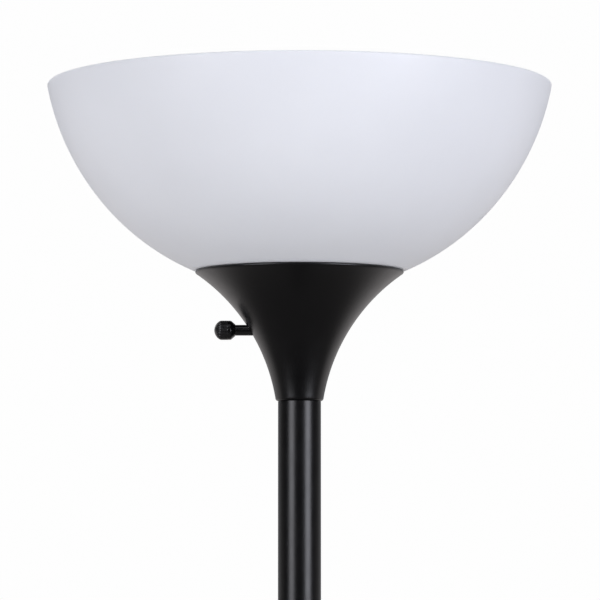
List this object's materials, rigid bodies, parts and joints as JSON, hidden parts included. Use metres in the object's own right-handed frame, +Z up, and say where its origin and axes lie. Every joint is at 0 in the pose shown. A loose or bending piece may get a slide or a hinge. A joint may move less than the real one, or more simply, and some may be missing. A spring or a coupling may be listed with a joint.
{
  "type": "torchiere floor lamp",
  "caption": "Tall uplighter floor lamp: weighted round base, slim screwed pole, trumpet cup with a rotary switch knob, and a white bowl shade round a screw-in bulb.",
  "frame": {"origin": "on the floor, under the middle of the round base", "axes": "+Z up along the pole; the switch knob points to -X; the mains cord leaves the base towards +Y"},
  "size_m": [0.3004, 0.3002, 1.8005],
  "materials": {
    "black_powder_coat": "semi-gloss black powder coat on steel",
    "foam_pad": "closed-cell foam, matt",
    "cement": "cast cement, rough",
    "zinc_steel": "bright zinc plate",
    "black_nylon": "moulded, fine texture",
    "white_shade_plastic": "moulded white plastic, satin",
    "white_ring_plastic": "moulded, satin",
    "yellow_brass": "pressed or turned, bright",
    "black_phenolic": "moulded phenolic",
    "fibre_plate": "pressed insulating fibre",
    "brown_lead": "extruded insulation, satin",
    "black_wire": "extruded insulation, satin",
    "white_wire": "extruded insulation, satin",
    "black_knob_plastic": "moulded, glossy",
    "cam_acetal": "moulded acetal",
    "nickel_plate": "satin nickel plate",
    "black_glass": "fused black glass",
    "white_bulb_plastic": "moulded, satin",
    "led_board": "white solder mask on aluminium",
    "opal_globe": "frosted opal plastic"
  },
  "bodies": {
    "lamp": {"base_pad": "foam_pad", "base_cover": "black_powder_coat", "base_weight": "cement", "base_nipple": "zinc_steel", "base_washer": "zinc_steel", "base_lock_washer": "zinc_steel", "base_nut": "zinc_steel", "seat_washer": "black_powder_coat", "cord_gland": "black_nylon", "pole_section_1": "black_powder_coat", "pole_section_2": "black_powder_coat", "pole_section_3": "black_powder_coat", "pole_section_4": "black_powder_coat", "lower_insert_1": "zinc_steel", "lower_insert_2": "zinc_steel", "lower_insert_3": "zinc_steel", "lower_insert_4": "zinc_steel", "upper_insert_1": "zinc_steel", "upper_insert_2": "zinc_steel", "upper_insert_3": "zinc_steel", "upper_insert_4": "zinc_steel", "joint_nipple_1": "zinc_steel", "joint_nipple_2": "zinc_steel", "joint_nipple_3": "zinc_steel", "head_nipple": "zinc_steel", "cup": "black_powder_coat", "head_lock_washer": "zinc_steel", "head_nut": "zinc_steel", "shade": "white_shade_plastic", "shade_ring": "white_ring_plastic", "socket_cap": "yellow_brass", "cap_set_screw": "zinc_steel", "socket_body": "black_phenolic", "socket_plate": "fibre_plate", "socket_shell": "yellow_brass", "socket_contact": "yellow_brass", "socket_rivets": "yellow_brass", "terminal_plates": "yellow_brass", "terminal_screws": "yellow_brass", "switch_contacts": "yellow_brass", "inner_lead": "brown_lead", "lead_live": "black_wire", "lead_neutral": "white_wire"},
    "switch_rotor": {"knob": "black_knob_plastic", "knob_stem": "black_knob_plastic", "switch_spindle": "yellow_brass", "switch_cam": "cam_acetal"},
    "bulb_foot": {"bulb_foot": "nickel_plate"},
    "bulb": {"bulb_insulator": "black_glass", "bulb_cap": "nickel_plate", "bulb_housing": "white_bulb_plastic", "bulb_led_plate": "led_board", "bulb_globe": "opal_globe"}
  },
  "joints": [
    {"name": "knob_turn", "type": "hinge", "parent": "lamp", "child": "switch_rotor", "pos_m": [0, 0, 1.6542], "axis": [-1, 0, 0], "continuous": true},
    {"name": "bulb_lift", "type": "slide", "parent": "lamp", "child": "bulb_foot", "axis": [0, 0, 1], "range_m": [0, 0.0165]},
    {"name": "bulb_turn", "type": "hinge", "parent": "bulb_foot", "child": "bulb", "pos_m": [0, 0, 1.67], "axis": [0, 0, 1], "range_deg": [0, 1620]}
  ],
  "couplings": [
    {"joint": "bulb_lift", "follows": "bulb_turn", "m_per_rad": 0.00057757}
  ]
}
